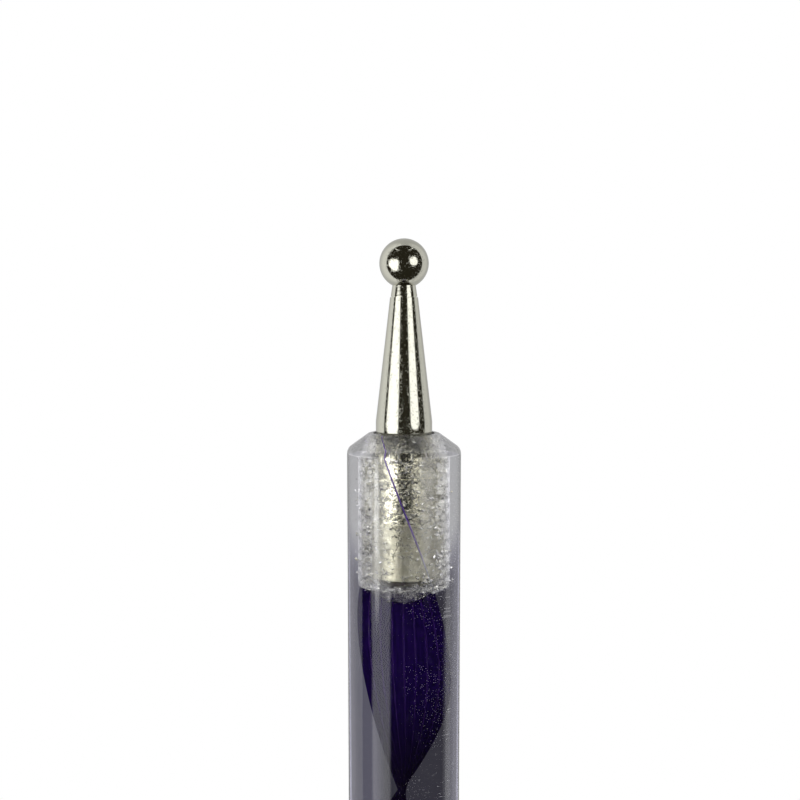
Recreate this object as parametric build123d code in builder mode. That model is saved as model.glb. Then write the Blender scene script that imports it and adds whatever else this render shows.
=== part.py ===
from build123d import *
import os
from math import radians, sqrt, tan

# Double-ended embossing stylus, in millimetres.
# +Z runs along the tool towards its large ball, and the origin is on the axis,
# in the middle of the handle. The bottom end holds the small ball.

# Handle: a clear acrylic rod, chamfered at both ends
rod_diameter = 7.0
rod_length = 106.0
end_face_diameter = 4.34
end_chamfer_height = 0.96
end_face_round = 0.3
end_corner_round = 0.5

# Blind hole drilled in each end for a tip
bore_diameter = 3.78
bore_depth = 9.5
drill_point_angle = 118.0

# Violet strands side by side, cast as a ribbon in the rod and twisted with it
stripe_count = 8
ribbon_width = 3.84
stripe_thickness = 0.16
stripe_gap = 0.03
twist_pitch = 36.0
ribbon_front_height = 39.5
ribbon_below_bore_wall = 0.1
ribbon_clearance = 0.03

# Turned tip body, the same at both ends: the tapered ferrule
ferrule_base_diameter = 3.46
ferrule_land = 0.7
ferrule_base_round = 0.08
ferrule_length = 8.25
ferrule_top_diameter = 1.7
ferrule_seat_gap = 0.02

# Turned tip body: the shank glued in the hole, with two ring grooves
shank_diameter = 2.8
shank_length = 9.2
shank_end_chamfer = 0.35
groove_depth = 0.18
groove_width = 0.3
groove_spacing = 2.8
first_groove_below_face = 2.5

# Adhesive round the shank
adhesive_clearance = 0.01
adhesive_below_face = 0.05

# Hole in the ferrule for the pin of the ball
pin_fit_clearance = 0.01
pin_end_gap = 0.2

# Large ball of the top end, with its neck and its pin
large_ball_diameter = 3.0
large_ball_above_ferrule = 2.03
large_neck_base_diameter = 1.62
large_neck_top_diameter = 1.42
large_pin_diameter = 1.0
large_pin_length = 3.0

# Small ball of the bottom end, with its neck and its pin
small_ball_diameter = 2.0
small_ball_above_ferrule = 2.0
small_neck_base_diameter = 1.5
small_neck_top_diameter = 1.0
small_pin_diameter = 0.8
small_pin_length = 3.0

# Radii and heights that follow from the sizes above
rod_radius = rod_diameter / 2
rod_top = rod_length / 2
bore_radius = bore_diameter / 2
bore_end = rod_top - bore_depth
drill_point_height = bore_radius / tan(radians(drill_point_angle / 2))
shank_radius = shank_diameter / 2
shank_end = rod_top - shank_length
ferrule_radius = ferrule_base_diameter / 2
ferrule_base = rod_top + ferrule_seat_gap
ferrule_top = ferrule_base + ferrule_length
ribbon_top = bore_end - ribbon_below_bore_wall
ribbon_bottom = -ribbon_top
stripe_width = (ribbon_width + stripe_gap) / stripe_count - stripe_gap

# Half profiles are drawn in these planes: x is the radius, and y is the
# distance along the axis from the middle of the handle towards that end.
top_end = Plane.XZ
bottom_end = -Plane.XZ

# The ribbon's section at its lower end, turned so that after its twist the flat
# face looks along Y at the front height
full_turn = 360
ribbon_turn = full_turn * (ribbon_front_height - ribbon_bottom) / twist_pitch
ribbon_section = Plane.XY.offset(ribbon_bottom).rotated((0, 0, ribbon_turn))

# The ribbon follows the rod's axis, and a left-handed helix round it twists it
with BuildLine() as ribbon_axis:
    Line((0, 0, ribbon_bottom), (0, 0, ribbon_top))
with BuildLine() as twist_guide:
    Helix(
        pitch=twist_pitch,
        height=ribbon_top - ribbon_bottom,
        radius=rod_radius,
        center=(0, 0, ribbon_bottom),
        lefthand=True,
    )
twist_edge = twist_guide.edges()[0]


def make_bores():
    """The two holes' drilled volume, each a cylinder with a drill point."""
    with BuildPart() as bores:
        with BuildSketch(top_end):
            with BuildLine():
                Polyline(
                    (0, rod_top),
                    (bore_radius, rod_top),
                    (bore_radius, bore_end),
                    (0, bore_end - drill_point_height),
                    close=True,
                )
            make_face()
        revolve(axis=Axis.Z)
        mirror(about=Plane.XY)
    return bores


def make_ribbon_cavity():
    """The twisted slot that the strands fill, with its clearance."""
    with BuildPart() as cavity:
        with BuildSketch(ribbon_section):
            Rectangle(
                ribbon_width + 2 * ribbon_clearance,
                stripe_thickness + 2 * ribbon_clearance,
            )
        sweep(path=ribbon_axis.line, binormal=twist_edge)
    return cavity


def make_stripe(index, bores):
    """One strand, counted across the ribbon, ending at the drill points."""
    first_centre = (stripe_width - ribbon_width) / 2
    centre = first_centre + index * (stripe_width + stripe_gap)
    with BuildPart() as stripe:
        with BuildSketch(ribbon_section):
            with Locations((centre, 0)):
                Rectangle(stripe_width, stripe_thickness)
        sweep(path=ribbon_axis.line, binormal=twist_edge)
        add(bores.part, mode=Mode.SUBTRACT)
    return stripe


def shank_outline(clearance):
    """Half profile of the grooved shank from its end to the rod's face."""
    outer = shank_radius + clearance
    floor = outer - groove_depth
    end = shank_end - clearance
    points = [
        (0, end),
        (outer - shank_end_chamfer, end),
        (outer, end + shank_end_chamfer),
    ]
    for steps_down in (1, 0):
        middle = rod_top - first_groove_below_face - steps_down * groove_spacing
        lower = middle - groove_width / 2 + clearance
        upper = middle + groove_width / 2 - clearance
        points += [(outer, lower), (floor, lower), (floor, upper), (outer, upper)]
    return points


def make_tip_body(end_plane, pin_diameter, pin_length):
    """Tapered ferrule and grooved shank, one turned piece with a pin hole."""
    hole_radius = pin_diameter / 2 + pin_fit_clearance
    with BuildPart() as tip_body:
        with BuildSketch(end_plane):
            with BuildLine():
                Polyline(
                    *shank_outline(0),
                    (shank_radius, ferrule_base),
                    (ferrule_radius, ferrule_base),
                    (ferrule_radius, ferrule_base + ferrule_land),
                    (ferrule_top_diameter / 2, ferrule_top),
                    (hole_radius, ferrule_top),
                    (hole_radius, ferrule_top - pin_length - pin_end_gap),
                    (0, ferrule_top - pin_length - pin_end_gap),
                    close=True,
                )
            face = make_face()
            base_corner = face.vertices().group_by(Axis.X)[-1].sort_by(Axis.Y)[0]
            fillet(base_corner, ferrule_base_round)
        revolve(axis=Axis.Z)
    return tip_body


def make_ball_tip(end_plane, ball_diameter, above_ferrule, neck_base, neck_top, pin_diameter, pin_length):
    """Ball, tapered neck and pin, one turned piece pressed in the ferrule."""
    ball_radius = ball_diameter / 2
    ball_centre = ferrule_top + above_ferrule
    neck_end = ball_centre - sqrt(ball_radius**2 - (neck_top / 2) ** 2)
    with BuildPart() as ball_tip:
        with BuildSketch(end_plane):
            with BuildLine():
                outline = Polyline(
                    (0, ball_centre + ball_radius),
                    (0, ferrule_top - pin_length),
                    (pin_diameter / 2, ferrule_top - pin_length),
                    (pin_diameter / 2, ferrule_top),
                    (neck_base / 2, ferrule_top),
                    (neck_top / 2, neck_end),
                )
                ThreePointArc(outline @ 1, (ball_radius, ball_centre), outline @ 0)
            make_face()
        revolve(axis=Axis.Z)
    return ball_tip


def make_adhesive(end_plane):
    """Cured adhesive between the shank and the wall of its hole."""
    outer = bore_radius - adhesive_clearance
    surface = rod_top - adhesive_below_face
    with BuildPart() as adhesive:
        with BuildSketch(end_plane):
            with BuildLine():
                Polyline(
                    *shank_outline(adhesive_clearance),
                    (shank_radius + adhesive_clearance, surface),
                    (outer, surface),
                    (outer, bore_end),
                    (0, bore_end - drill_point_height + 2 * adhesive_clearance),
                    close=True,
                )
            make_face()
        revolve(axis=Axis.Z)
    return adhesive


def save(piece, name):
    piece.part.label = name
    export_step(piece.part, f"parts/{name}.step")


os.makedirs("parts", exist_ok=True)

# Acrylic rod with its two drilled ends and the slot of the ribbon
bores = make_bores()
cavity = make_ribbon_cavity()
with BuildPart() as handle_rod:
    with BuildSketch(Plane.XZ) as rod_profile:
        with BuildLine():
            Polyline(
                (0, rod_top),
                (end_face_diameter / 2, rod_top),
                (rod_radius, rod_top - end_chamfer_height),
                (rod_radius, 0),
            )
            mirror(about=Plane.XZ)
            Line((0, -rod_top), (0, rod_top))
        make_face()
        by_height = rod_profile.vertices().group_by(Axis.Y)
        for face_corners in (by_height[0], by_height[-1]):
            fillet(face_corners.sort_by(Axis.X)[-1], end_face_round)
        wall_corners = rod_profile.vertices().group_by(Axis.X)[-1].sort_by(Axis.Y)
        fillet((wall_corners[0], wall_corners[-1]), end_corner_round)
    revolve(axis=Axis.Z)
    add(bores.part, mode=Mode.SUBTRACT)
    add(cavity.part, mode=Mode.SUBTRACT)
save(handle_rod, "handle_rod")

# Violet strands
for index in range(stripe_count):
    save(make_stripe(index, bores), f"swirl_stripe_{index + 1}")

# Tip with the large ball
save(make_tip_body(top_end, large_pin_diameter, large_pin_length), "large_tip_cone")
large_ball_tip = make_ball_tip(
    top_end,
    large_ball_diameter,
    large_ball_above_ferrule,
    large_neck_base_diameter,
    large_neck_top_diameter,
    large_pin_diameter,
    large_pin_length,
)
save(large_ball_tip, "large_ball_tip")
save(make_adhesive(top_end), "large_tip_adhesive")

# Tip with the small ball
save(make_tip_body(bottom_end, small_pin_diameter, small_pin_length), "small_tip_cone")
small_ball_tip = make_ball_tip(
    bottom_end,
    small_ball_diameter,
    small_ball_above_ferrule,
    small_neck_base_diameter,
    small_neck_top_diameter,
    small_pin_diameter,
    small_pin_length,
)
save(small_ball_tip, "small_ball_tip")
save(make_adhesive(bottom_end), "small_tip_adhesive")
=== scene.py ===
import math
import random

import bmesh
import bpy
from mathutils import Matrix, Vector, noise


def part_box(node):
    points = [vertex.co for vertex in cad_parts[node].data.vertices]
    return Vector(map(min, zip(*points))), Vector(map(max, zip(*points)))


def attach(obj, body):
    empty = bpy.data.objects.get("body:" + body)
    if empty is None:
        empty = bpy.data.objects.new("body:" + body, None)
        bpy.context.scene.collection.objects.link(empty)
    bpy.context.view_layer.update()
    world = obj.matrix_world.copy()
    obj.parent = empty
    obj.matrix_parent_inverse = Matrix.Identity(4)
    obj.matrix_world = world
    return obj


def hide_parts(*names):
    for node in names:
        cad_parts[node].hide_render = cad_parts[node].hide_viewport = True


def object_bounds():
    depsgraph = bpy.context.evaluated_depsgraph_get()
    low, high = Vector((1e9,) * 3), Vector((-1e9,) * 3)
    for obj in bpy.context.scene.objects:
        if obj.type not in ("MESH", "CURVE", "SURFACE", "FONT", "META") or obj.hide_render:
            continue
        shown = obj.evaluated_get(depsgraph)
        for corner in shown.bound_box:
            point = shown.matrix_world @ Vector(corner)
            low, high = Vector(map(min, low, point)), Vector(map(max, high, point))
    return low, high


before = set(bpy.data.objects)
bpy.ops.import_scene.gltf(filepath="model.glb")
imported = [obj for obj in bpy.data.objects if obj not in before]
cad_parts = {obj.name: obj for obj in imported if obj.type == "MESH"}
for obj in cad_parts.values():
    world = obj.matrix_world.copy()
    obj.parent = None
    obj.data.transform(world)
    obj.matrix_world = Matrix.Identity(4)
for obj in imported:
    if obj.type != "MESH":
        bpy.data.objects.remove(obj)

cad_box = [list(corner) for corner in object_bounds()]

# The view
# The photograph looks at the large end from the front and a little above, from
# as close as a phone focuses, so the handle narrows towards the bottom.
MM = 0.001
FRAME_SIDE = 800
rod_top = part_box("handle_rod")[1][2]
view_distance = 70 * MM
view_elevation = math.radians(6.0)
view_focal_px = 1140
axis_column_px = 404.0
level_row_px = 430
rod_face_row_px = 432.8

px_per_metre = view_focal_px / view_distance
looked_at = Vector((
    -(axis_column_px - FRAME_SIDE / 2) / px_per_metre,
    0,
    rod_top + (rod_face_row_px - level_row_px) / px_per_metre,
))
eye = looked_at + view_distance * Vector((0, -math.cos(view_elevation), math.sin(view_elevation)))
lens = bpy.data.cameras.new("photo_camera")
lens.sensor_width = 36
lens.lens = lens.sensor_width * view_focal_px / FRAME_SIDE
lens.shift_y = (level_row_px - FRAME_SIDE / 2) / FRAME_SIDE
lens.clip_start = 1 * MM
camera = bpy.data.objects.new("photo_camera", lens)
camera.matrix_world = (
    Matrix.Translation(eye) @ Matrix.Rotation(math.pi / 2 - view_elevation, 4, "X")
)
bpy.context.collection.objects.link(camera)
bpy.context.scene.camera = camera
bpy.context.scene.view_settings.view_transform = "Standard"


# Handle
# A 7 mm rod of clear cast acrylic, faced and chamfered on a lathe, then polished.
# A blind hole is drilled in each end; the drill leaves rings on its wall, and the
# adhesive wets that wall, so it shows as a frosted sleeve in the clear rod.
def linear(code, alpha=1.0):
    """An sRGB hex colour such as "8a5cc2" as linear red, green, blue and alpha."""
    shares = [int(code[i:i + 2], 16) / 255 for i in (0, 2, 4)]
    return [c / 12.92 if c <= 0.04045 else ((c + 0.055) / 1.055) ** 2.4 for c in shares] + [alpha]


def add_node(tree, kind, settings=None, inputs=None):
    """Add a node; an input is a value, or the output socket that is linked to it."""
    node = tree.nodes.new(kind)
    for name, value in (settings or {}).items():
        setattr(node, name, value)
    for key, value in (inputs or {}).items():
        if isinstance(value, bpy.types.NodeSocket):
            tree.links.new(value, node.inputs[key])
        else:
            node.inputs[key].default_value = value
    return node


def new_material(name):
    """An empty node material with its Principled shader linked to the output."""
    material = bpy.data.materials.new(name)
    material.use_nodes = True
    tree = material.node_tree
    return material, tree, tree.nodes["Principled BSDF"]


def turned(corners, around=256):
    """A bmesh turned round the tool's axis from (radius, height) corners."""
    mesh = bmesh.new()
    outline = [mesh.verts.new((radius, 0, height)) for radius, height in corners]
    lines = [mesh.edges.new(pair) for pair in zip(outline, outline[1:])]
    bmesh.ops.spin(
        mesh, geom=outline + lines, cent=(0, 0, 0), axis=(0, 0, 1), angle=math.tau,
        steps=around, use_merge=True,
    )
    bmesh.ops.remove_doubles(mesh, verts=mesh.verts, dist=0.0001 * MM)
    bmesh.ops.recalc_face_normals(mesh, faces=mesh.faces)
    return mesh


def round_ring(mesh, radius, height, width, segments=5):
    """Bevel the ring edge that lies at one radius and height."""
    def on_ring(vert):
        return (
            abs(vert.co.xy.length - radius) < 0.01 * MM
            and abs(vert.co.z - height) < 0.001 * MM
        )

    ring = [edge for edge in mesh.edges if on_ring(edge.verts[0]) and on_ring(edge.verts[1])]
    bmesh.ops.bevel(
        mesh, geom=ring, offset=width, affect="EDGES", segments=segments, profile=0.5,
        material=-1,
    )


def finished(mesh, name, materials, sharp_angle=math.radians(25)):
    """A smooth shaded object of a bmesh, with its hard edges kept."""
    for face in mesh.faces:
        face.smooth = True
    for edge in mesh.edges:
        if len(edge.link_faces) == 2 and edge.calc_face_angle() > sharp_angle:
            edge.smooth = False
    data = bpy.data.meshes.new(name)
    mesh.to_mesh(data)
    mesh.free()
    for material in materials:
        data.materials.append(material)
    piece = bpy.data.objects.new(name, data)
    bpy.context.collection.objects.link(piece)
    return piece


rod_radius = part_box("handle_rod")[1][0]
face_radius = 2.17 * MM
chamfer_height = 0.96 * MM
corner_round = 0.26 * MM
face_round = 0.09 * MM
bore_radius = 1.89 * MM
bore_depth = 9.5 * MM
drill_point_angle = math.radians(118)
bore_end = rod_top - bore_depth
drill_slope = 1 / math.tan(drill_point_angle / 2)
drill_point = bore_end - bore_radius * drill_slope
# The web of the drill leaves the point blunt
blunt_point = [
    (radius * MM, drill_point + (radius * drill_slope + blunted) * MM)
    for radius, blunted in ((0, 0.2), (0.25, 0.08), (0.5, 0.02), (0.8, 0))
]

upper_corners = blunt_point + [
    (bore_radius, bore_end),
    (bore_radius, rod_top),
    (face_radius, rod_top),
    (rod_radius, rod_top - chamfer_height),
]
lower_corners = [(radius, -height) for radius, height in reversed(upper_corners)]
handle_mesh = turned(upper_corners + lower_corners)
for side in (1, -1):
    round_ring(handle_mesh, rod_radius, side * (rod_top - chamfer_height), corner_round, 8)
    round_ring(handle_mesh, face_radius, side * rod_top, face_round, 4)
for face in handle_mesh.faces:
    middle = face.calc_center_median()
    if middle.xy.length < bore_radius and abs(middle.z) < rod_top:
        face.material_index = 1
    elif abs(middle.z) > rod_top - chamfer_height - corner_round:
        face.material_index = 2


def add_hollows(mesh, shapes, jag, material_index=0, at_once=40):
    """Jagged air-filled hollows, each an icosphere given by its matrix and fineness."""
    for first in range(0, len(shapes), at_once):
        batch = bmesh.new()
        for shape, fineness in shapes[first:first + at_once]:
            bmesh.ops.create_icosphere(batch, subdivisions=fineness, radius=1, matrix=shape)
        for vert in batch.verts:
            vert.co += jag * noise.noise_vector(vert.co / (1.5 * jag))
        bmesh.ops.reverse_faces(batch, faces=batch.faces[:])
        for face in batch.faces:
            face.material_index = material_index
        data = bpy.data.meshes.new("hollows")
        batch.to_mesh(data)
        batch.free()
        mesh.from_mesh(data)
        bpy.data.meshes.remove(data)


# Chips that the drill broke out behind the wall of each hole
chip_chance = random.Random(3)
chips = []
for index in range(420):
    size = chip_chance.uniform(0.04, 0.16) * MM
    away = bore_radius + chip_chance.uniform(0.03, 0.12) * MM
    height = chip_chance.uniform(bore_end + 0.2 * MM, rod_top - 0.25 * MM)
    chips.append((
        Matrix.Rotation(chip_chance.uniform(0, math.tau), 4, "Z")
        @ Matrix.Translation((away, 0, height if index % 2 else -height))
        @ Matrix.Rotation(chip_chance.uniform(-0.9, 0.9), 4, "X")
        @ Matrix.Rotation(chip_chance.uniform(-0.5, 0.5), 4, "Z")
        @ Matrix.Diagonal((0.02 * MM, size, size * chip_chance.uniform(0.25, 0.7), 1)),
        1,
    ))
# The drill's point leaves more of them round the bottom of the hole
for index in range(90):
    size = chip_chance.uniform(0.03, 0.11) * MM
    share_out = math.sqrt(chip_chance.uniform(0.02, 0.75))
    height = drill_point + share_out * (bore_end - drill_point) - chip_chance.uniform(0.04, 0.1) * MM
    chips.append((
        Matrix.Rotation(chip_chance.uniform(0, math.tau), 4, "Z")
        @ Matrix.Translation((share_out * bore_radius, 0, height if index % 2 else -height))
        @ Matrix.Rotation(chip_chance.uniform(-0.9, 0.9), 4, "X")
        @ Matrix.Diagonal((size, size * chip_chance.uniform(0.3, 0.8), 0.03 * MM, 1)),
        1,
    ))
add_hollows(handle_mesh, chips, 0.04 * MM)

# Polished cast acrylic: perfectly clear, with dust and hairline scratches on it.
# The specks are 0.04 mm across, 0.12 mm apart, and lie thicker in some places.
acrylic, tree, shader = new_material("polished_cast_acrylic")
shader.inputs["Base Color"].default_value = linear("f4f4f8")
shader.inputs["IOR"].default_value = 1.49
place = add_node(tree, "ShaderNodeTexCoord").outputs["Object"]
speck_centres = add_node(tree, "ShaderNodeTexVoronoi", inputs={"Vector": place, "Scale": 1 / (0.12 * MM)})
specks = add_node(tree, "ShaderNodeMapRange", inputs={
    "Value": speck_centres.outputs["Distance"], "From Min": 0.25, "From Max": 0.13,
})
thick_places = add_node(tree, "ShaderNodeTexNoise", inputs={"Vector": place, "Scale": 1 / (3 * MM), "Detail": 3})
dustiness = add_node(tree, "ShaderNodeMapRange", inputs={
    "Value": thick_places.outputs["Fac"], "From Min": 0.25, "From Max": 0.55,
})
# It lay on one side longest, so that side holds most of the dust
side_share = add_node(tree, "ShaderNodeMapRange", inputs={
    "Value": add_node(tree, "ShaderNodeSeparateXYZ", inputs={0: place}).outputs["X"],
    "From Min": -1 * MM, "From Max": 1 * MM, "To Min": 0.35, "To Max": 1.0,
})
dust = add_node(tree, "ShaderNodeMath", {"operation": "MULTIPLY"}, {
    0: add_node(tree, "ShaderNodeMath", {"operation": "MULTIPLY"}, {
        0: specks.outputs["Result"], 1: dustiness.outputs["Result"],
    }).outputs[0],
    1: side_share.outputs["Result"],
})
drawn_out = add_node(tree, "ShaderNodeMapping", inputs={
    "Vector": place, "Rotation": (0.2, 0.35, 0), "Scale": (1 / (0.5 * MM), 1 / (0.5 * MM), 1 / (5 * MM)),
})
grain = add_node(tree, "ShaderNodeTexNoise", inputs={"Vector": drawn_out.outputs["Vector"], "Scale": 1, "Detail": 0})
from_line = add_node(tree, "ShaderNodeMath", {"operation": "COMPARE"}, {
    0: grain.outputs["Fac"], 1: 0.5, 2: 0.0015,
})
marks = add_node(tree, "ShaderNodeMath", {"operation": "MULTIPLY_ADD"}, {
    0: from_line.outputs[0], 1: 0.08, 2: dust.outputs[0],
})
clear_share = add_node(tree, "ShaderNodeMapRange", inputs={
    "Value": marks.outputs[0], "To Min": 1.0, "To Max": 0.935,
})
tree.links.new(clear_share.outputs["Result"], shader.inputs["Transmission Weight"])
mark_roughness = add_node(tree, "ShaderNodeMapRange", inputs={
    "Value": marks.outputs[0], "To Min": 0.0, "To Max": 0.4,
})
tree.links.new(mark_roughness.outputs["Result"], shader.inputs["Roughness"])

# Drilled acrylic wet with adhesive: hardly a step in the index, so its haze and
# the drill's rings, 0.35 mm apart, are what shows
bore_wall, tree, shader = new_material("drilled_acrylic_wet_with_adhesive")
shader.inputs["IOR"].default_value = 1.06
place = add_node(tree, "ShaderNodeTexCoord").outputs["Object"]
clouds = add_node(tree, "ShaderNodeTexNoise", inputs={
    "Vector": place, "Scale": 1 / (0.9 * MM), "Detail": 6, "Roughness": 0.7, "Distortion": 0.6,
})
cloudiness = add_node(tree, "ShaderNodeMapRange", inputs={
    "Value": clouds.outputs["Fac"], "From Min": 0.36, "From Max": 0.64, "To Min": 0.3, "To Max": 1.0,
})
# A thin frosted layer is whiter where it is looked through at a slant
slant = add_node(tree, "ShaderNodeMapRange", inputs={
    "Value": add_node(tree, "ShaderNodeLayerWeight", inputs={"Blend": 0.5}).outputs["Facing"],
    "From Min": 0.04, "From Max": 0.26, "To Min": 0.01, "To Max": 0.19,
})
height = add_node(tree, "ShaderNodeMath", {"operation": "ABSOLUTE"}, {
    0: add_node(tree, "ShaderNodeSeparateXYZ", inputs={0: place}).outputs["Z"],
})
above_point = add_node(tree, "ShaderNodeMapRange", inputs={
    "Value": height.outputs[0], "From Min": bore_end - 0.05 * MM, "From Max": bore_end + 0.1 * MM,
    "To Min": 0.25, "To Max": 1.0,
})
wall_haze = add_node(tree, "ShaderNodeMath", {"operation": "MULTIPLY"}, {
    0: cloudiness.outputs["Result"],
    1: add_node(tree, "ShaderNodeMath", {"operation": "MULTIPLY"}, {
        0: slant.outputs["Result"], 1: above_point.outputs["Result"],
    }).outputs[0],
})
wall_clear_share = add_node(tree, "ShaderNodeMath", {"operation": "SUBTRACT"}, {0: 1.0, 1: wall_haze.outputs[0]})
strayed = add_node(tree, "ShaderNodeVectorMath", {"operation": "MULTIPLY_ADD"}, {
    0: add_node(tree, "ShaderNodeTexNoise", inputs={
        "Vector": place, "Scale": 1 / (0.35 * MM), "Detail": 4, "Roughness": 0.7,
    }).outputs["Color"],
    1: (0.9 * MM, 0.9 * MM, 0.9 * MM), 2: place,
})
crack_cells = add_node(tree, "ShaderNodeTexVoronoi", {"feature": "DISTANCE_TO_EDGE"}, {
    "Vector": strayed.outputs[0], "Scale": 1 / (1.1 * MM),
})
cracks = add_node(tree, "ShaderNodeMapRange", inputs={
    "Value": crack_cells.outputs["Distance"], "From Min": 0.035, "From Max": 0.01,
})
pit_cells = add_node(tree, "ShaderNodeTexVoronoi", inputs={
    "Vector": strayed.outputs[0], "Scale": 1 / (0.24 * MM),
})
pits = add_node(tree, "ShaderNodeMapRange", inputs={
    "Value": pit_cells.outputs["Distance"], "From Min": 0.24, "From Max": 0.16,
})
broken_places = add_node(tree, "ShaderNodeMapRange", inputs={
    "Value": add_node(tree, "ShaderNodeTexNoise", inputs={
        "Vector": place, "Scale": 1 / (0.8 * MM), "Detail": 2,
    }).outputs["Fac"],
    "From Min": 0.48, "From Max": 0.56,
})
# The cracks and pits are real; their dark colour and lower clearness are painted shade
shade_painted_in_cracks = add_node(tree, "ShaderNodeMath", {"operation": "MULTIPLY"}, {
    0: add_node(tree, "ShaderNodeMath", {"operation": "MAXIMUM"}, {
        0: cracks.outputs["Result"], 1: pits.outputs["Result"],
    }).outputs[0],
    1: broken_places.outputs["Result"],
})
wall_colour = add_node(tree, "ShaderNodeMix", {"data_type": "RGBA"}, {
    "Factor": shade_painted_in_cracks.outputs[0], "A": linear("fafaf8"), "B": linear("45433a"),
})
tree.links.new(wall_colour.outputs["Result"], shader.inputs["Base Color"])
wall_clear = add_node(tree, "ShaderNodeMath", {"operation": "MULTIPLY_ADD"}, {
    0: shade_painted_in_cracks.outputs[0], 1: -0.65, 2: wall_clear_share.outputs[0],
})
tree.links.new(wall_clear.outputs[0], shader.inputs["Transmission Weight"])
wall_roughness = add_node(tree, "ShaderNodeMapRange", inputs={
    "Value": clouds.outputs["Fac"], "From Min": 0.42, "From Max": 0.7, "To Min": 0.0, "To Max": 0.15,
})
tree.links.new(wall_roughness.outputs["Result"], shader.inputs["Roughness"])
rings = add_node(tree, "ShaderNodeTexWave", {"bands_direction": "Z"}, {
    "Vector": place, "Scale": 1 / (20 * 0.35 * MM) * math.tau / 2, "Distortion": 3.0, "Detail": 3,
})
ring_bump = add_node(tree, "ShaderNodeBump", inputs={
    "Strength": 0.5, "Distance": 0.03 * MM, "Height": rings.outputs["Fac"],
})
grain = add_node(tree, "ShaderNodeTexNoise", inputs={
    "Vector": place, "Scale": 1 / (0.16 * MM), "Detail": 4, "Roughness": 0.7,
})
wall_bump = add_node(tree, "ShaderNodeBump", inputs={
    "Strength": 0.8, "Distance": 0.04 * MM, "Height": grain.outputs["Fac"], "Normal": ring_bump.outputs[0],
})
tree.links.new(wall_bump.outputs[0], shader.inputs["Normal"])

# Chamfered acrylic: turned and polished, with painted light: a white haze painted on its left and right sides,
# across X, for the light they catch
chamfer, tree, shader = new_material("turned_acrylic_chamfer")
shader.inputs["Base Color"].default_value = linear("f6f6f8")
shader.inputs["IOR"].default_value = 1.49
place = add_node(tree, "ShaderNodeTexCoord").outputs["Object"]
across = add_node(tree, "ShaderNodeMath", {"operation": "ABSOLUTE"}, {
    0: add_node(tree, "ShaderNodeSeparateXYZ", inputs={0: place}).outputs["X"],
})
# Painted light: the chamfer is painted whiter towards its left and right sides
painted_light_at_sides = add_node(tree, "ShaderNodeMapRange", {"interpolation_type": "SMOOTHSTEP"}, {
    "Value": across.outputs[0], "From Min": 1.2 * MM, "From Max": 2.4 * MM,
})
clouds = add_node(tree, "ShaderNodeTexNoise", inputs={"Vector": place, "Scale": 1 / (0.5 * MM), "Detail": 4})
painted_side_haze = add_node(tree, "ShaderNodeMath", {"operation": "MULTIPLY"}, {
    0: painted_light_at_sides.outputs["Result"], 1: add_node(tree, "ShaderNodeMapRange", inputs={
        "Value": clouds.outputs["Fac"], "From Min": 0.3, "From Max": 0.7, "To Min": 0.26, "To Max": 0.4,
    }).outputs["Result"],
})
chamfer_clear_share = add_node(tree, "ShaderNodeMath", {"operation": "SUBTRACT"}, {0: 1.0, 1: painted_side_haze.outputs[0]})
tree.links.new(chamfer_clear_share.outputs[0], shader.inputs["Transmission Weight"])
shader.inputs["Roughness"].default_value = 0.02

handle = finished(handle_mesh, "acrylic_handle", [acrylic, bore_wall, chamfer])
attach(handle, "root")
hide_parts("handle_rod")


# Ribbon
# Eight strands of violet pigmented acrylic, cast side by side in the middle of the
# rod and twisted with it while it was soft. The drill cuts them away except for a
# hairline of the outer strands beside each hole.
stripe_count = 8
ribbon_width = 3.84 * MM
stripe_thickness = 0.16 * MM
stripe_gap = 0.01 * MM
twist_pitch = 36 * MM
ribbon_front_height = 39.5 * MM
ribbon_inset = 0.05 * MM
rows_per_turn = 120
stripe_width = (ribbon_width + stripe_gap) / stripe_count - stripe_gap
ribbon_top = rod_top - ribbon_inset
ribbon_turns = 2 * ribbon_top / twist_pitch
ribbon_rows = round(ribbon_turns * rows_per_turn)
ribbon_start = math.tau * (ribbon_front_height + ribbon_top) / twist_pitch

strand_corner = 0.03 * MM
outer_strand_corner = 0.065 * MM


def violet_acrylic(name, dark, light, deepest="080318"):
    """Pigmented acrylic, with streaks 0.12 mm wide and 6 mm long along the strand."""
    material, tree, shader = new_material(name)
    place = add_node(tree, "ShaderNodeTexCoord").outputs["Object"]
    drawn_out = add_node(tree, "ShaderNodeMapping", inputs={
        "Vector": place, "Scale": (1 / (0.12 * MM), 1 / (0.12 * MM), 1 / (6 * MM)),
    })
    streaks = add_node(tree, "ShaderNodeTexNoise", inputs={
        "Vector": drawn_out.outputs["Vector"], "Scale": 1, "Detail": 3,
    })
    # The strands are drawn darker every half turn of the twist: lightest where they face the front, deepest a
    # quarter turn from there, edge-on to it
    half_turn = add_node(tree, "ShaderNodeMath", {"operation": "MULTIPLY_ADD"}, {
        0: add_node(tree, "ShaderNodeSeparateXYZ", inputs={0: place}).outputs["Z"],
        1: 2 * math.tau / twist_pitch, 2: -2 * math.tau * ribbon_front_height / twist_pitch,
    })
    facing_front_share = add_node(tree, "ShaderNodeMapRange", inputs={
        "Value": add_node(tree, "ShaderNodeMath", {"operation": "COSINE"}, {0: half_turn.outputs[0]}).outputs[0],
        "From Min": -1.0, "From Max": 0.6,
    })
    streaks_here = add_node(tree, "ShaderNodeMapRange", inputs={
        "Value": streaks.outputs["Fac"], "From Min": 0.38, "From Max": 0.7,
    })
    pigment = add_node(tree, "ShaderNodeMix", {"data_type": "RGBA"}, {
        "Factor": streaks_here.outputs["Result"], "A": linear(dark), "B": linear(light),
    })
    pigment = add_node(tree, "ShaderNodeMix", {"data_type": "RGBA"}, {
        "Factor": facing_front_share.outputs["Result"], "A": linear(deepest), "B": pigment.outputs["Result"],
    })
    tree.links.new(pigment.outputs["Result"], shader.inputs["Base Color"])
    shader.inputs["Roughness"].default_value = 0.6
    shader.inputs["Specular IOR Level"].default_value = 0.0
    return material


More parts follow.
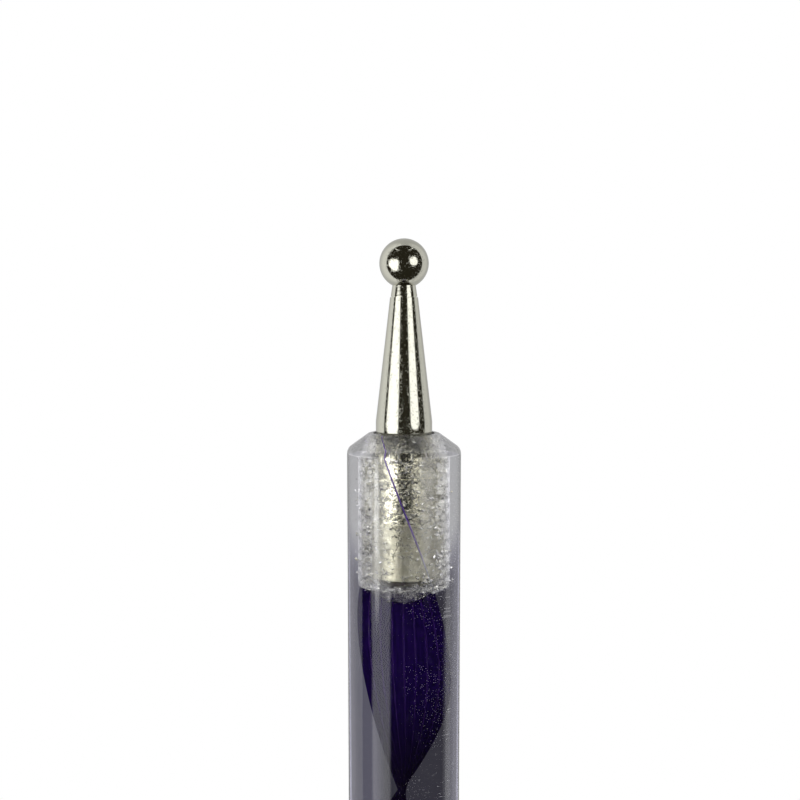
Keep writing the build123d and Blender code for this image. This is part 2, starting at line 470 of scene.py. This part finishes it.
# Violet pigmented acrylic: deep and even, with a thin paler skin where strands meet
violet = violet_acrylic("violet_pigmented_acrylic", "0e0231", "190640")
pale_violet = violet_acrylic("thin_violet_skin", "281252", "3a2262")
# Beside the holes only a skin of the outer strands is left, and light comes through it
hairline = violet_acrylic("violet_hairline", "9a78e4", "bca2f6", "9a78e4")
hairline_shader = hairline.node_tree.nodes["Principled BSDF"]
hairline_shader.inputs["IOR"].default_value = 1.02
hairline_shader.inputs["Transmission Weight"].default_value = 0.6
# and it thins out to nothing towards the hole's bottom
hairline_tree = hairline.node_tree
hairline_height = add_node(hairline_tree, "ShaderNodeMath", {"operation": "ABSOLUTE"}, {
    0: add_node(hairline_tree, "ShaderNodeSeparateXYZ", inputs={
        0: add_node(hairline_tree, "ShaderNodeTexCoord").outputs["Object"],
    }).outputs["Z"],
})
left_over = add_node(hairline_tree, "ShaderNodeMapRange", inputs={
    "Value": hairline_height.outputs[0], "From Min": bore_end + 0.8 * MM, "From Max": bore_end + 4 * MM,
})
hairline_colour = add_node(hairline_tree, "ShaderNodeMix", {"data_type": "RGBA"}, {
    "Factor": left_over.outputs["Result"], "A": linear("ffffff"),
    "B": hairline_shader.inputs["Base Color"].links[0].from_socket,
})
hairline_tree.links.new(hairline_colour.outputs["Result"], hairline_shader.inputs["Base Color"])

drill_mesh = turned(blunt_point + [
    (bore_radius, bore_end), (bore_radius, rod_top + ribbon_inset), (0, rod_top + ribbon_inset),
])
lower_drill = drill_mesh.copy()
bmesh.ops.rotate(lower_drill, cent=(0, 0, 0), matrix=Matrix.Rotation(math.pi, 3, "X"), verts=lower_drill.verts)
drill_data = bpy.data.meshes.new("drilled_volume")
lower_drill.to_mesh(drill_data)
drill_mesh.from_mesh(drill_data)
lower_drill.free()
drill = finished(drill_mesh, "drilled_volume", [])

for index in range(stripe_count):
    name = f"swirl_stripe_{index + 1}"
    middle = (stripe_width - ribbon_width) / 2 + index * (stripe_width + stripe_gap)
    strand = bmesh.new()
    bmesh.ops.create_grid(strand, x_segments=1, y_segments=1, size=0.5)
    bmesh.ops.scale(strand, vec=(stripe_width, stripe_thickness, 1), verts=strand.verts)
    outer_side = {0: -1, stripe_count - 1: 1}.get(index, 0)
    outer_corners = [vert for vert in strand.verts if vert.co.x * outer_side > 0]
    inner_corners = [vert for vert in strand.verts if vert not in outer_corners]
    for corners, size in ((outer_corners, outer_strand_corner), (inner_corners, strand_corner)):
        bmesh.ops.bevel(
            strand, geom=corners, offset=size, affect="VERTICES", segments=1, profile=0.5, material=-1,
        )
    bmesh.ops.delete(strand, geom=strand.faces[:], context="FACES_ONLY")
    bmesh.ops.translate(strand, vec=(middle, 0, -ribbon_top), verts=strand.verts)
    bmesh.ops.rotate(
        strand, cent=(0, 0, 0), matrix=Matrix.Rotation(ribbon_start, 3, "Z"), verts=strand.verts
    )
    bmesh.ops.spin(
        strand, geom=strand.verts[:] + strand.edges[:], cent=(0, 0, 0), axis=(0, 0, 1),
        dvec=(0, 0, 2 * ribbon_top / ribbon_rows), angle=-ribbon_turns * math.tau,
        steps=ribbon_rows,
    )
    bmesh.ops.holes_fill(strand, edges=strand.edges, sides=8)
    bmesh.ops.recalc_face_normals(strand, faces=strand.faces)
    for face in strand.faces:
        centre = face.calc_center_median()
        untwist = math.tau * (centre.z + ribbon_top) / twist_pitch - ribbon_start
        centre.rotate(Matrix.Rotation(untwist, 3, "Z"))
        if abs(centre.z) > bore_end:
            face.material_index = 2
        elif abs(centre.x - middle) > stripe_width / 2 - strand_corner and abs(centre.x) < ribbon_width / 2 - outer_strand_corner:
            face.material_index = 1
    stripe = finished(strand, f"{name}_strand", [violet, pale_violet, hairline])
    cut = stripe.modifiers.new("drilled", "BOOLEAN")
    cut.operation = "DIFFERENCE"
    cut.solver = "EXACT"
    cut.object = drill
    graph = bpy.context.evaluated_depsgraph_get()
    stripe.data = bpy.data.meshes.new_from_object(stripe.evaluated_get(graph))
    stripe.modifiers.clear()
    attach(stripe, "root")
    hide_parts(name)
bpy.data.objects.remove(drill)

# Tips
# Each tip is a turned ferrule with its grooved shank, and a ball with a neck that
# is pressed in it, all bright nickel plated. Handling leaves fine nicks in the plate.
ferrule_radius = 1.73 * MM
ferrule_land = 0.7 * MM
ferrule_base_round = 0.08 * MM
ferrule_top_radius = 0.85 * MM
shank_radius = 1.4 * MM
shank_chamfer = 0.35 * MM
groove_depth = 0.18 * MM
groove_width = 0.3 * MM
groove_depths_in_rod = (5.3 * MM, 2.5 * MM)
satin_below = rod_top - groove_depths_in_rod[0]
seat_gap = 0.02 * MM
seam_gap = 0.045 * MM


def nickel_plate(name, colour, smooth, rough, nick_depth, nick_spacing, satin=0.0):
    """Plated metal with nicks, the lathe's marks, and a satin stretch below the grooves."""
    material, tree, shader = new_material(name)
    shader.inputs["Base Color"].default_value = linear(colour)
    shader.inputs["Metallic"].default_value = 1.0
    place = add_node(tree, "ShaderNodeTexCoord").outputs["Object"]
    nicks = add_node(tree, "ShaderNodeTexNoise", inputs={
        "Vector": place, "Scale": 1 / nick_spacing, "Detail": 5, "Roughness": 0.65,
    })
    polish = add_node(tree, "ShaderNodeMapRange", inputs={
        "Value": nicks.outputs["Fac"], "From Min": 0.45, "From Max": 0.7, "To Min": smooth, "To Max": rough,
    })
    # The satin stretch begins unevenly, within 1.2 mm
    patches = add_node(tree, "ShaderNodeTexNoise", inputs={"Vector": place, "Scale": 1 / (0.7 * MM), "Detail": 3})
    from_middle = add_node(tree, "ShaderNodeMath", {"operation": "ABSOLUTE"}, {
        0: add_node(tree, "ShaderNodeSeparateXYZ", inputs={0: place}).outputs["Z"],
    })
    strayed = add_node(tree, "ShaderNodeMath", {"operation": "MULTIPLY_ADD"}, {
        0: patches.outputs["Fac"], 1: 2.4 * MM, 2: from_middle.outputs[0],
    })
    satin_here = add_node(tree, "ShaderNodeMapRange", inputs={
        "Value": strayed.outputs[0], "From Min": satin_below + 1.4 * MM, "From Max": satin_below + 0.8 * MM,
        "To Min": 0.0, "To Max": satin,
    })
    roughness = add_node(tree, "ShaderNodeMath", {"operation": "ADD"}, {
        0: polish.outputs["Result"], 1: satin_here.outputs["Result"],
    })
    tree.links.new(roughness.outputs[0], shader.inputs["Roughness"])
    pits = add_node(tree, "ShaderNodeMapRange", inputs={
        "Value": nicks.outputs["Fac"], "From Min": 0.3, "From Max": 0.45,
    })
    turned_marks = add_node(tree, "ShaderNodeTexWave", {"bands_direction": "Z"}, {
        "Vector": place, "Scale": math.pi / (20 * 0.12 * MM), "Distortion": 2.0, "Detail": 2,
    })
    marks_bump = add_node(tree, "ShaderNodeBump", inputs={
        "Strength": 0.3, "Distance": nick_depth / 4, "Height": turned_marks.outputs["Fac"],
    })
    nick_bump = add_node(tree, "ShaderNodeBump", inputs={
        "Strength": 1.0, "Distance": nick_depth, "Height": pits.outputs["Result"],
        "Normal": marks_bump.outputs[0],
    })
    tree.links.new(nick_bump.outputs[0], shader.inputs["Normal"])
    return material


# Bright nickel plate: mirror-like and a little warm, with fine nicks from use
nickel = nickel_plate("bright_nickel_plate", "c9c8bb", 0.02, 0.1, 0.0036 * MM, 0.12 * MM)
# Under the adhesive the plate is pitted, and satin on the last stretch of the shank
pitted_nickel = nickel_plate("pitted_nickel_plate", "dfddd0", 0.08, 0.24, 0.01 * MM, 0.14 * MM, satin=0.28)


def tip_body(end, side):
    """Ferrule and shank of one end; side is 1 at the top of the tool and -1 below."""
    low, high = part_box(f"{end}_tip_cone")
    top = max(abs(low[2]), abs(high[2]))
    shank_end = min(abs(low[2]), abs(high[2]))
    pin_hole = 0.5 * MM
    corners = [(0, shank_end), (shank_radius - shank_chamfer, shank_end), (shank_radius, shank_end + shank_chamfer)]
    for depth in groove_depths_in_rod:
        below = rod_top - depth - groove_width / 2
        above = rod_top - depth + groove_width / 2
        corners += [
            (shank_radius, below), (shank_radius - groove_depth, below),
            (shank_radius - groove_depth, above), (shank_radius, above),
        ]
    corners += [
        (shank_radius, rod_top + seat_gap),
        (ferrule_radius, rod_top + seat_gap),
        (ferrule_radius, rod_top + seat_gap + ferrule_land),
        (ferrule_top_radius, top),
        (pin_hole, top),
        (pin_hole, top - 3 * MM),
        (0, top - 3 * MM),
    ]
    mesh = turned(corners)
    round_ring(mesh, ferrule_radius, rod_top + seat_gap, ferrule_base_round, 4)
    for face in mesh.faces:
        height = face.calc_center_median().z
        if height < rod_top:
            face.material_index = 1
    if side < 0:
        bmesh.ops.rotate(mesh, cent=(0, 0, 0), matrix=Matrix.Rotation(math.pi, 3, "X"), verts=mesh.verts)
    return finished(mesh, f"{end}_ferrule_and_shank", [nickel, pitted_nickel])


def ball_tip(end, side, neck_base, neck_top, around=256):
    """Ball, neck and pin of one end."""
    low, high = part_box(f"{end}_ball_tip")
    radius = high[0]
    far = max(abs(low[2]), abs(high[2]))
    pin_end = min(abs(low[2]), abs(high[2]))
    ferrule_top = max(abs(z) for z in (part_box(f"{end}_tip_cone")[0][2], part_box(f"{end}_tip_cone")[1][2]))
    centre = far - radius
    neck_end = centre - math.sqrt(radius ** 2 - neck_top ** 2)
    pin_radius = 0.45 * MM
    mesh = bmesh.new()
    bmesh.ops.create_uvsphere(
        mesh, u_segments=around, v_segments=around // 2, radius=radius,
        matrix=Matrix.Translation((0, 0, centre)),
    )
    bmesh.ops.bisect_plane(
        mesh, geom=mesh.verts[:] + mesh.edges[:] + mesh.faces[:], plane_co=(0, 0, neck_end),
        plane_no=(0, 0, 1), clear_inner=True,
    )
    for ring_radius, height in (
        (neck_base, ferrule_top + seam_gap), (neck_base - seam_gap, ferrule_top + seam_gap),
        (neck_base - seam_gap, ferrule_top), (pin_radius, ferrule_top), (pin_radius, pin_end),
    ):
        open_edges = [edge for edge in mesh.edges if edge.is_boundary]
        sides = bmesh.ops.extrude_edge_only(mesh, edges=open_edges)["geom"]
        ring = [item for item in sides if isinstance(item, bmesh.types.BMVert)]
        for vert in ring:
            vert.co.xy = vert.co.xy.normalized() * ring_radius
            vert.co.z = height
    bmesh.ops.holes_fill(mesh, edges=[edge for edge in mesh.edges if edge.is_boundary], sides=0)
    bmesh.ops.recalc_face_normals(mesh, faces=mesh.faces)
    if side < 0:
        bmesh.ops.rotate(mesh, cent=(0, 0, 0), matrix=Matrix.Rotation(math.pi, 3, "X"), verts=mesh.verts)
    return finished(mesh, f"{end}_ball_and_neck", [nickel])


# Adhesive
# Clear two-part adhesive poured in the hole before the shank is pushed in. It
# cures with bubbles, cracks and a white haze where it has let go of the wall.
adhesive_clearance = 0.01 * MM
adhesive_below_face = 0.05 * MM

released_patch = 0.9 * MM
released_depth = 0.06 * MM
wall_columns = 160
wall_rows = 100
pocket_count = 900
bubble_count = 60


def adhesive_finish(name, colour, index, clear_share, roughness, grain_depth):
    """Clear adhesive with a grain of 0.2 mm."""
    material, tree, shader = new_material(name)
    shader.inputs["Base Color"].default_value = linear(colour)
    shader.inputs["IOR"].default_value = index
    shader.inputs["Transmission Weight"].default_value = clear_share
    place = add_node(tree, "ShaderNodeTexCoord").outputs["Object"]
    grain = add_node(tree, "ShaderNodeTexNoise", inputs={
        "Vector": place, "Scale": 1 / (0.2 * MM), "Detail": 5, "Roughness": 0.7,
    })
    tree.links.new(add_node(tree, "ShaderNodeMapRange", inputs={
        "Value": grain.outputs["Fac"], "From Min": 0.4, "From Max": 0.65, "To Min": 0.0, "To Max": roughness,
    }).outputs["Result"], shader.inputs["Roughness"])
    grain_bump = add_node(tree, "ShaderNodeBump", inputs={
        "Strength": 1.0, "Distance": grain_depth, "Height": grain.outputs["Fac"],
    })
    tree.links.new(grain_bump.outputs[0], shader.inputs["Normal"])
    return material


# Where it wets the wall the adhesive can't be seen; where it has let go it is bright
cured = adhesive_finish("cured_clear_adhesive", "f6f5ee", 1.02, 1.0, 0.1, 0.01 * MM)
released = adhesive_finish("adhesive_off_the_wall", "f6f6f2", 1.3, 0.97, 0.12, 0.03 * MM)
# Air in the adhesive: it turns light back as a bubble in glass does
air_wall = adhesive_finish("air_pocket_in_adhesive", "fafafa", 1.49, 1.0, 0.05, 0.01 * MM)


def adhesive_fill(end, side, seed):
    """Sleeve of adhesive between the shank and its hole, closed at the drill point."""
    chance = random.Random(seed)
    outer = bore_radius - adhesive_clearance
    inner = shank_radius + adhesive_clearance
    low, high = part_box(f"{end}_tip_cone")
    shank_end = min(abs(low[2]), abs(high[2])) - adhesive_clearance
    surface = rod_top - adhesive_below_face
    mesh = turned([(radius, height + 2 * adhesive_clearance) for radius, height in blunt_point] + [
        (outer, bore_end),
        (outer, surface),
        (inner, surface),
        (inner, shank_end),
        (0, shank_end),
    ], wall_columns)
    wall_lines = [
        edge for edge in mesh.edges
        if edge.calc_length() > bore_depth / 2 and edge.verts[0].co.xy.length > (outer + inner) / 2
    ]
    bmesh.ops.subdivide_edges(mesh, edges=wall_lines, cuts=wall_rows, use_grid_fill=True)

    def release(place):
        coarse = noise.noise(place / released_patch + Vector((seed, 0, 0)))
        fine = noise.noise(place / (released_patch / 4) + Vector((0, seed, 0)))
        return min(1, max(0, (coarse + 0.6 * fine - 0.1) / 0.15))

    for vert in mesh.verts:
        if vert.co.xy.length > outer - released_depth / 2 and bore_end < vert.co.z < surface:
            depth = released_depth * release(vert.co) * (0.6 + 0.4 * noise.noise(vert.co / (0.1 * MM)))
            vert.co.xy *= 1 - max(0, depth) / outer
    for face in mesh.faces:
        centre = face.calc_center_median()
        if centre.xy.length > (outer + inner) / 2 and bore_end < centre.z < surface:
            face.material_index = 1 if release(centre) > 0.5 else 0

    pockets = []
    for index in range(pocket_count):
        large = index % 2 == 0
        height = chance.uniform(bore_end - 0.1 * MM, surface - 0.2 * MM)
        away = chance.uniform(inner + 0.08 * MM, outer - 0.04 * MM)
        size = chance.uniform(0.07, 0.17) * MM if large else chance.uniform(0.03, 0.08) * MM
        pockets.append((
            Matrix.Rotation(chance.uniform(0, math.tau), 4, "Z")
            @ Matrix.Translation((away, 0, height))
            @ Matrix.Rotation(chance.uniform(-0.9, 0.9), 4, "X")
            @ Matrix.Rotation(chance.uniform(-0.25, 0.25), 4, "Z")
            @ Matrix.Diagonal((
                min(0.09 * MM, size * chance.uniform(0.35, 0.6)), size, size * chance.uniform(0.3, 0.7), 1,
            )),
            2 if large else 1,
        ))
    # Bubbles caught under the shank's end, in the drill's point
    for index in range(bubble_count):
        size = chance.uniform(0.02, 0.09) * MM
        away = chance.uniform(0.1, 0.8) * bore_radius
        lowest = drill_point + (bore_end - drill_point) * away / bore_radius + 0.12 * MM
        pockets.append((
            Matrix.Rotation(chance.uniform(0, math.tau), 4, "Z")
            @ Matrix.Translation((away, 0, chance.uniform(lowest, shank_end - 0.1 * MM)))
            @ Matrix.Diagonal((size, size, size * chance.uniform(0.5, 1.0), 1)),
            1,
        ))
    add_hollows(mesh, pockets, 0.03 * MM, 2)
    if side < 0:
        bmesh.ops.rotate(mesh, cent=(0, 0, 0), matrix=Matrix.Rotation(math.pi, 3, "X"), verts=mesh.verts)
    return finished(mesh, f"{end}_adhesive_fill", [cured, released, air_wall])


for end, side, neck_base, neck_top in (
    ("large", 1, 0.81 * MM, 0.71 * MM),
    ("small", -1, 0.75 * MM, 0.5 * MM),
):
    for piece, node, slot in (
        (tip_body(end, side), f"{end}_tip_cone", "nickel_plate"),
        (ball_tip(end, side, neck_base, neck_top), f"{end}_ball_tip", "nickel_plate"),
        (adhesive_fill(end, side, 7 + side), f"{end}_tip_adhesive", "clear_adhesive"),
    ):
        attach(piece, "root")
        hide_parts(node)


# Floor
# A small round table of white board just under the lower ball.
floor_radius = 150 * MM
floor_mesh = bmesh.new()
bmesh.ops.create_circle(floor_mesh, cap_ends=True, segments=128, radius=floor_radius)
bmesh.ops.translate(floor_mesh, vec=(0, 0, cad_box[0][2]), verts=floor_mesh.verts)
board, tree, shader = new_material("white_board")
shader.inputs["Base Color"].default_value = linear("fafafa")
shader.inputs["Roughness"].default_value = 0.8
floor = finished(floor_mesh, "floor", [board])
floor.visible_glossy = False
floor.visible_transmission = False

# Light
# A white dome lights the object evenly. Metal and acrylic see the studio itself:
# white paper behind the tool, a dark room in front of it, and two soft boxes.
world = bpy.data.worlds.new("studio")
bpy.context.scene.world = world
world.use_nodes = True
tree = world.node_tree
tree.nodes.clear()


def math_node(operation, *values):
    return add_node(tree, "ShaderNodeMath", {"operation": operation}, dict(enumerate(values))).outputs[0]


def ramp(value, low, high, low_value=0.0, high_value=1.0):
    return add_node(
        tree, "ShaderNodeMapRange", {"interpolation_type": "SMOOTHSTEP"},
        {"Value": value, "From Min": low, "From Max": high, "To Min": low_value, "To Max": high_value},
    ).outputs["Result"]


direction = add_node(tree, "ShaderNodeSeparateXYZ", inputs={
    0: add_node(tree, "ShaderNodeTexCoord").outputs["Generated"]
})
to_degrees = math.degrees(1)
# Degrees round the tool from the camera's side, positive towards +X
azimuth = math_node("MULTIPLY", math_node(
    "ARCTAN2", direction.outputs["X"], math_node("MULTIPLY", direction.outputs["Y"], -1)
), to_degrees)
elevation = math_node("MULTIPLY", math_node("ARCSINE", direction.outputs["Z"]), to_degrees)
from_behind = math_node("SUBTRACT", 180, math_node("ABSOLUTE", azimuth))

# The bare metal is seen from a little further left than the handle's lower end, so
# what it mirrors on the left lies a few degrees further forward
path = add_node(tree, "ShaderNodeLightPath").outputs
on_right = ramp(azimuth, -1, 1)
not_in_metal = math_node("MAXIMUM", on_right, path["Is Singular Ray"])
behind = ramp(math_node("ADD", from_behind, math_node("MULTIPLY", not_in_metal, 4)), 92, 89)
# Metal sees paper that is lighter on the left, and through the handle the paper
# darkens between two heights, where the tool's own shadow lies on it.
paper = math_node(
    "ADD",
    math_node("MULTIPLY", ramp(from_behind, 20, 75, 0.55, 0.95), math_node("SUBTRACT", 1, on_right)),
    math_node("MULTIPLY", ramp(from_behind, 35, 60, 0.53, 0.77), on_right),
)
paper_through_handle = ramp(from_behind, 42, 30, 0.42, 0.82)
roof = ramp(elevation, 2, 15, 0, 1.3)
in_shadow = math_node("MULTIPLY", behind, math_node(
    "MULTIPLY", ramp(elevation, -13.5, -16.5), ramp(elevation, -36, -30)
))
shadow = math_node("ADD", ramp(from_behind, 33, 66, 0.025, 0.15), ramp(from_behind, 64, 80, 0.0, 1.0))
shadow = math_node("ADD", shadow, math_node(
    "MULTIPLY", ramp(azimuth, 168, 156, 0.0, 0.095), ramp(azimuth, 128, 146)
))
dark_room = 0.026


def soft_box(az, el, half_width, half_height, edge, strength):
    """A soft-edged rounded box of light, in degrees round the tool."""
    across = math_node("DIVIDE", math_node("ABSOLUTE", math_node("SUBTRACT", azimuth, az)), half_width)
    along = math_node("DIVIDE", math_node("ABSOLUTE", math_node("SUBTRACT", elevation, el)), half_height)
    power = 2.5
    reach = math_node("POWER", math_node(
        "ADD", math_node("POWER", across, power), math_node("POWER", along, power)
    ), 1 / power)
    return ramp(reach, 1 + edge, 1 - edge, 0.0, strength)


seen_through = math_node(
    "ADD",
    math_node("MULTIPLY", shadow, in_shadow),
    math_node("MULTIPLY", paper_through_handle, math_node("SUBTRACT", 1, in_shadow)),
)
paper_seen = math_node(
    "ADD",
    math_node("MULTIPLY", seen_through, path["Is Transmission Ray"]),
    math_node("MULTIPLY", paper, math_node("SUBTRACT", 1, path["Is Transmission Ray"])),
)
# What is only looked through shows paper all round, and what is mirrored the dark room
mirrored = math_node("MINIMUM", path["Glossy Depth"], 1)
paper_reach = math_node("MAXIMUM", behind, math_node("MULTIPLY", 0.6, math_node("SUBTRACT", 1, mirrored)))
studio = math_node("ADD", math_node("MULTIPLY", paper_seen, paper_reach), dark_room)
beside = math_node("ADD", soft_box(-57, -3, 32, 14, 0.15, 2.6), soft_box(68, -3, 24, 14, 0.3, 0.8))
fill = math_node("MAXIMUM", roof, beside)
studio = math_node("ADD", studio, math_node("MULTIPLY", fill, path["Is Transmission Ray"]))
seen_directly = math_node("SUBTRACT", 1, path["Is Transmission Ray"])
left_box = math_node("MAXIMUM", soft_box(-48, -1, 24, 18, 0.12, 2.0), math_node(
    "MULTIPLY", soft_box(-50, -1, 26, 18, 0.12, 2.0), math_node("SUBTRACT", 1, path["Is Singular Ray"])
))
low_box = math_node("MULTIPLY", soft_box(-47.5, -18, 19.5, 16, 0.2, 2.0), seen_directly)
mirrored_in_handle = math_node("MULTIPLY", path["Is Singular Ray"], seen_directly)
for box in (
    math_node("MAXIMUM", left_box, low_box),
    math_node("MULTIPLY", soft_box(98, -20, 10, 14, 0.5, 0.7), mirrored_in_handle),
    math_node("MULTIPLY", soft_box(-57.5, -6.2, 5, 2.6, 0.35, 4.5), mirrored_in_handle),
    soft_box(-56, -8, 6, 4, 0.4, 3.8),
    soft_box(46, 8.5, 19, 18, 0.15, 1.8),
    soft_box(-58, 58, 22, 1.2, 0.4, 1.7),
    soft_box(65, 60, 28, 1.2, 0.4, 1.7),
):
    studio = math_node("ADD", studio, box)

seen_in_object = math_node("MAXIMUM", path["Is Glossy Ray"], path["Is Transmission Ray"])
strength = math_node(
    "ADD",
    math_node("MULTIPLY", studio, seen_in_object),
    math_node("SUBTRACT", 1, seen_in_object),
)
# The light that came through the ribbon tints the tool's shadow
tint = add_node(tree, "ShaderNodeMix", {"data_type": "RGBA"}, {
    "Factor": math_node("MULTIPLY", in_shadow, path["Is Transmission Ray"]),
    "A": (1, 1, 1, 1), "B": linear("e6e3ff"),
})
# The dark room is a little brown
tint = add_node(tree, "ShaderNodeMix", {"data_type": "RGBA"}, {
    "Factor": math_node("MULTIPLY", ramp(studio, 0.3, 0.02), math_node("SUBTRACT", 1, path["Is Transmission Ray"])),
    "A": tint.outputs["Result"], "B": linear("fff4cc"),
})
background = add_node(tree, "ShaderNodeBackground", inputs={"Color": tint.outputs["Result"], "Strength": strength})
add_node(tree, "ShaderNodeOutputWorld", inputs={"Surface": background.outputs[0]})
